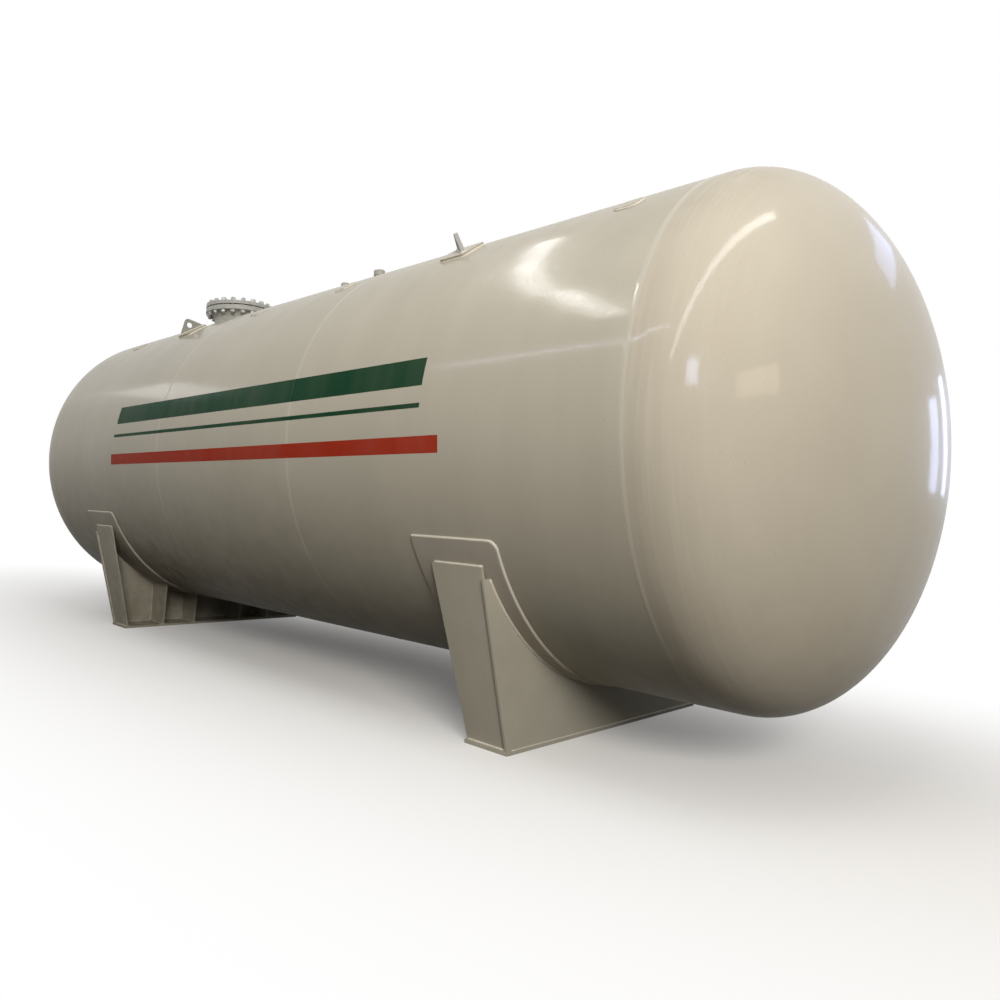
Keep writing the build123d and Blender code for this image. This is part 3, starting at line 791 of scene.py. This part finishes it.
def web_beads(mesh, sx):
    """Both faces of the web of the saddle on the sx side."""
    steps = round(2 * WEB_HALF_SWEEP * WEAR_RADIUS / BEAD_STEP)
    angles = [math.pi + WEB_HALF_SWEEP * (2 * i / steps - 1) for i in range(steps + 1)]
    away = [Vector((0, -math.sin(a), math.cos(a))) for a in angles]
    faces = ((sx * web_high.x, sx), (sx * web_low.x, -sx))
    for (face, out), foot_leg in zip(faces, WEB_FOOT_LEGS):
        path = [on_shell(face, a, WEAR_RADIUS) for a in angles]
        lay_bead(mesh, path, [Vector((out, 0, 0))] * len(path), away, WEB_LEG)
        bead_along(mesh, (face, -WEB_HALF_FOOT, BASE_TOP), (face, WEB_HALF_FOOT, BASE_TOP),
                   (out, 0, 0), (0, 0, 1), foot_leg)


print("web", round((web_high.x - web_low.x) / MM), "mm thick")

# %% [markdown]
# Four ribs stand behind each web. Their back edge leans, so that they widen upward, and
# each is welded on both faces: to the base, to the web and to the wear plate.

# %% Beads of the ribs
RIB_PLACES = (-0.615, -0.27, 0.27, 0.615)
RIB_HALF_THICKNESS = 7 * MM
RIB_WIDTH = 272 * MM
RIB_LEAN = math.tan(math.radians(5))
RIB_LEG = 7 * MM


def rib_beads(mesh, sx):
    """The ribs of the saddle on the sx side."""
    web_face = sx * web_low.x
    foot = web_face - sx * RIB_WIDTH
    for y in RIB_PLACES:
        top = AXIS_HEIGHT - math.sqrt(WEAR_RADIUS ** 2 - y ** 2)
        crown = foot - sx * RIB_LEAN * (top - BASE_TOP)
        for out in (-1, 1):
            face = y + out * RIB_HALF_THICKNESS
            corner = (web_face, face, BASE_TOP)
            bead_along(mesh, corner, (foot, face, BASE_TOP), (0, out, 0), (0, 0, 1), RIB_LEG)
            bead_along(mesh, corner, (web_face, face, top), (0, out, 0), (-sx, 0, 0), RIB_LEG)
            bead_along(mesh, (web_face, face, top), (crown, face, top),
                       (0, out, 0), (0, 0, -1), RIB_LEG)


print(len(RIB_PLACES), "ribs to a saddle")

# %% [markdown]
# An end plate closes the saddle at each side and leans outward, so a bead at its foot
# has one leg along that slope. A saddle's heaviest bead is the one at this plate's top
# edge, against the wear plate, where it catches the light.

# %% Beads of the end plates
end_low, end_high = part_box("saddle_right_end_near")
END_LEAN = math.radians(14.8)
END_THICKNESS = 16 * MM
BASE_OVERHANG = 20 * MM              # base beyond the end plate's foot
END_LEG, END_OUTSIDE_LEG, END_TOP_LEG = 8 * MM, 7 * MM, 13 * MM
INSIDE_SHARE, OUTSIDE_SHARE = 0.84, 0.93   # of the plate's height that the upright beads reach
END_TOP_LENGTH = 0.35


def end_beads(mesh, sx, sy):
    """The end plate at the sy side of the saddle on the sx side."""
    web_face = sx * web_low.x
    outside = sy * (base_high.y - BASE_OVERHANG)
    inside = outside - sy * END_THICKNESS
    rise = end_high.z - BASE_TOP
    slope = Vector((0, sy * math.sin(END_LEAN), math.cos(END_LEAN)))
    for face, out in ((outside, sy), (inside, -sy)):
        bead_along(mesh, (web_face, face, BASE_TOP),
                   (web_face - sx * RIB_WIDTH, face, BASE_TOP), (0, out, 0), slope, END_LEG)
    for face, out, share, leg in ((inside, -sy, INSIDE_SHARE, END_LEG),
                                  (outside, sy, OUTSIDE_SHARE, END_OUTSIDE_LEG)):
        foot = Vector((web_face, face, BASE_TOP))
        bead_along(mesh, foot, foot + slope * (share * rise), (0, out, 0), (-sx, 0, 0), leg)
    reach = -end_low.y - END_THICKNESS
    up_plate = Vector((0, sy * (AXIS_HEIGHT - end_high.z), reach)).normalized()
    top = Vector((web_face, sy * reach, end_high.z))
    bead_along(mesh, top, top - Vector((sx * END_TOP_LENGTH, 0, 0)), (0, sy, 0), up_plate,
               END_TOP_LEG)


saddle_beads = bmesh.new()
for sx in (-1, 1):
    web_beads(saddle_beads, sx)
    rib_beads(saddle_beads, sx)
    for sy in (-1, 1):
        end_beads(saddle_beads, sx, sy)
finish_piece(saddle_beads, "saddle_welds", weld_glint_enamel)

# %% [markdown]
# ### Beads round the manway and the pipe stubs
# A pipe that enters a cylinder meets it in a curve that is a circle from above and
# rises and falls with the shell. The height at each point of the circle follows from
# the cylinder's equation, so the curve needs no drawing.

# %% Beads round upright pipes
MANWAY_PAD_THICKNESS = 16 * MM
MANWAY_PAD_LEG, NECK_LEG, STUB_LEG = 12 * MM, 14 * MM, 8 * MM
LEAST_STEPS = 16


def middle_and_radius(name):
    """Where an upright round solid stands along the tank, and its radius."""
    low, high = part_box(name)
    return (low.x + high.x) / 2, (high.x - low.x) / 2


def bead_round_pipe(mesh, x, ring_radius, surface_radius, leg):
    """Bead where an upright pipe at x meets a cylinder of surface_radius."""
    count = max(LEAST_STEPS, round(2 * math.pi * ring_radius / BEAD_STEP))
    path, legs_a, legs_b = [], [], []
    for i in range(count):
        t = 2 * math.pi * i / count
        y = ring_radius * math.sin(t)
        rise = math.sqrt(surface_radius ** 2 - y ** 2)
        path.append(Vector((x + ring_radius * math.cos(t), y, AXIS_HEIGHT + rise)))
        normal = Vector((0, y / surface_radius, rise / surface_radius))
        away = Vector((math.cos(t), math.sin(t), 0))
        legs_a.append((away - normal * away.dot(normal)).normalized())
        legs_b.append(Vector((0, 0, 1)))
    lay_bead(mesh, path, legs_a, legs_b, leg, closed=True)


pipe_beads = bmesh.new()
bead_round_pipe(pipe_beads, MANWAY_CENTRE.x, middle_and_radius("manway_pad")[1], SHELL_RADIUS,
                MANWAY_PAD_LEG)
bead_round_pipe(pipe_beads, MANWAY_CENTRE.x, middle_and_radius("manway_neck")[1],
                SHELL_RADIUS + MANWAY_PAD_THICKNESS, NECK_LEG)
for name in ("small_nozzle_pipe", "large_nozzle_pipe"):
    x, ring_radius = middle_and_radius(name)
    bead_round_pipe(pipe_beads, x, ring_radius, SHELL_RADIUS, STUB_LEG)
finish_piece(pipe_beads, "nozzle_welds", weld_glint_enamel)

# %% [markdown]
# ## Floor and background
# The tank stands on a plain pale floor that runs out into white. More light could make
# it white, but it would wash out the tank, so the floor's own colour does it where the
# floor is seen directly. A tenth of it is its own glow beneath the tank, so that the
# shadow shows, and that grows to all of it in an oval a few metres out. For the light
# that it throws back the floor is dark, which keeps the underside of the tank in shade.

# %% Floor material
FLOOR_SEEN, FLOOR_BOUNCE = "#FBFAF8", "#45423D"
OVAL = (0.34, 1.0, 1.0)        # distance counts less along the tank, as the tank is long
GLOW_FROM, GLOW_FULL = 0.3, 3.6   # metres out, across the tank
GLOW_LEAST = 0.1
WHITE = (1, 1, 1, 1)


def seen_directly(tree):
    """1 for camera, glossy and transmission rays, 0 for the rest."""
    path = add(tree, "ShaderNodeLightPath")
    either = add(tree, "ShaderNodeMath", {0: path.outputs["Is Camera Ray"],
                                          1: path.outputs["Is Glossy Ray"]},
                 operation="MAXIMUM")
    return add(tree, "ShaderNodeMath", {0: either.outputs["Value"],
                                        1: path.outputs["Is Transmission Ray"]},
               operation="MAXIMUM").outputs["Value"]


def pale_floor():
    """Floor that is pale to the eye, glows from a few metres out and throws back little."""
    material, tree = start_material("pale_floor")
    seen = seen_directly(tree)
    colour = add(tree, "ShaderNodeMix", {SHARE: seen, FIRST: linear(FLOOR_BOUNCE),
                                         SECOND: linear(FLOOR_SEEN)}, data_type="RGBA")
    shader = add(tree, "ShaderNodeBsdfDiffuse", {"Color": colour.outputs[MIXED]})
    place = add(tree, "ShaderNodeTexCoord").outputs["Object"]
    oval = add(tree, "ShaderNodeVectorMath", {0: place, 1: OVAL}, operation="MULTIPLY")
    far = add(tree, "ShaderNodeVectorMath", {0: oval.outputs["Vector"]}, operation="LENGTH")
    fade = add(tree, "ShaderNodeMapRange", {"Value": far.outputs["Value"],
                                            "From Min": GLOW_FROM, "From Max": GLOW_FULL,
                                            "To Min": GLOW_LEAST, "To Max": 1.0},
               interpolation_type="SMOOTHSTEP")
    glow_share = add(tree, "ShaderNodeMath", {0: fade.outputs["Result"], 1: seen},
                     operation="MULTIPLY")
    glow = add(tree, "ShaderNodeEmission", {"Color": WHITE, "Strength": 1.0})
    mix = add(tree, "ShaderNodeMixShader", {0: glow_share.outputs["Value"],
                                            1: shader.outputs["BSDF"],
                                            2: glow.outputs["Emission"]})
    add(tree, "ShaderNodeOutputMaterial", {"Surface": mix.outputs["Shader"]})
    return material


floor_paint = pale_floor()
print(floor_paint.name, "with", len(floor_paint.node_tree.nodes), "nodes")

# %% [markdown]
# The floor is one square face, a millimetre below the saddles, so that no two faces lie
# in one plane. It belongs to the stage and not to the tank.

# %% Floor
FLOOR_HALF_SIZE = 60
FLOOR_DROP = 1 * MM
floor_mesh = bmesh.new()
bmesh.ops.create_grid(floor_mesh, x_segments=1, y_segments=1, size=FLOOR_HALF_SIZE)
floor_data = bpy.data.meshes.new("floor")
floor_mesh.to_mesh(floor_data)
floor_mesh.free()
floor_data.materials.append(floor_paint)
floor = bpy.data.objects.new("floor", floor_data)
floor.location.z = -FLOOR_DROP
bpy.context.scene.collection.objects.link(floor)
print("floor at", floor.location.z)

# %% [markdown]
# ## Light
# The world gives a weak even light, a little warm. Where it is seen directly or in a
# reflection it is white, with a strength of one, so that it gives the background and no
# extra light.

# %% World
WORLD_COLOUR = "#D9D6CF"
WORLD_STRENGTH = 0.34
world = bpy.data.worlds.new("studio")
bpy.context.scene.world = world
world.use_nodes = True
tree = world.node_tree
tree.nodes.clear()
soft = add(tree, "ShaderNodeBackground", {"Color": linear(WORLD_COLOUR),
                                          "Strength": WORLD_STRENGTH})
white = add(tree, "ShaderNodeBackground", {"Color": WHITE, "Strength": 1.0})
mix = add(tree, "ShaderNodeMixShader", {0: seen_directly(tree),
                                        1: soft.outputs["Background"],
                                        2: white.outputs["Background"]})
add(tree, "ShaderNodeOutputWorld", {"Surface": mix.outputs["Shader"]})
print("world of", len(tree.nodes), "nodes")

# %% [markdown]
# Glossy paint is described by what it mirrors, and a lamp that lights it well is rarely
# one that looks well in it. So the work is split. Two broad soft lamps, one high over
# the near end and one beyond it, and a weak fill from the left light the tank. They are
# kept out of reflections, where they would be pale squares. The others light nothing
# and are only mirrored: on a cylinder a strip that lies along the tank draws a straight
# streak, one that lies across it draws a hook, bent round the shoulder, and panels at
# the sides draw the pale shapes at the rim of the near head.

# %% Lamps
def softbox(name, place, target, width, length, power, colour="#FFFFFF", mirrored=True):
    """Area lamp at place, facing target. It is mirrored or it lights, never both."""
    lamp = bpy.data.lights.new(name, "AREA")
    lamp.shape = "RECTANGLE"
    lamp.size, lamp.size_y = width, length
    lamp.energy = power
    lamp.color = linear(colour)[:3]
    box = bpy.data.objects.new(name, lamp)
    box.location = place
    box.rotation_euler = (Vector(target) - Vector(place)).to_track_quat("-Z", "Y").to_euler()
    box.visible_camera = False
    box.visible_glossy = mirrored
    box.visible_diffuse = not mirrored
    bpy.context.scene.collection.objects.link(box)
    return box


NEAR_END = (3.2, 0, 1.7)       # on the axis, beside the near head
FAR_END = (-3.4, 0, 1.7)       # on the axis, beside the far head
lamps = [
    softbox("key_high", (3.7, -4.0, 13.8), NEAR_END, 5, 5, 385, "#FBFAF6", mirrored=False),
    softbox("key_low", (11.3, -8.6, 6.6), NEAR_END, 5, 4, 1180, "#FFF9F1", mirrored=False),
    softbox("left_fill", (-12.0, -9.0, 6.0), FAR_END, 4, 4, 50, "#F2F6F2", mirrored=False),
    softbox("strip_near", (6.5, -6.5, 9.0), (6.5, -6.5, 0), 0.6, 17.0, 330),
    softbox("strip_top", (-2.05, 0.9, 9.0), (-2.05, 0.9, 0), 0.5, 2.2, 30),
    softbox("strip_middle", (-2.1, -1.8, 9.0), (-2.1, -1.8, 0), 0.5, 3.2, 70),
    softbox("strip_tail", (-1.85, -4.9, 9.0), (-1.85, -4.9, 0), 0.5, 3.0, 105),
    softbox("long_row", (-1.6, -9.5, 9.0), (-1.6, -3.0, 2.0), 12.5, 0.25, 150, "#D8DEFA"),
    softbox("left_panel", (-17.0, -6.5, 9.0), (-17.0, -6.5, 0), 4.0, 4.0, 150),
    softbox("blue_near", (10.2, -10.2, 6.3), (3.8, 0, 1.7), 2.2, 2.0, 230, "#C8D6FF"),
    softbox("panel_end", (15.0, -2.5, 5.1), (4.0, -2.5, 5.1), 5.0, 1.7, 120, "#FFF3DC"),
    softbox("blue_far_high", (5.7, 10.0, 7.8), (5.7, 0, 7.8), 3.7, 1.4, 40, "#B4C8FF"),
    softbox("blue_far_low", (6.5, 10.0, 2.6), (6.5, 0, 2.6), 1.0, 2.2, 38, "#C4D4FF"),
    softbox("blue_far_rim", (4.7, 10.0, 2.8), (4.7, 0, 2.8), 0.7, 2.4, 38, "#C4D4FF"),
]
print(len(lamps), "lamps, of which", sum(lamp.visible_glossy for lamp in lamps), "are mirrored")
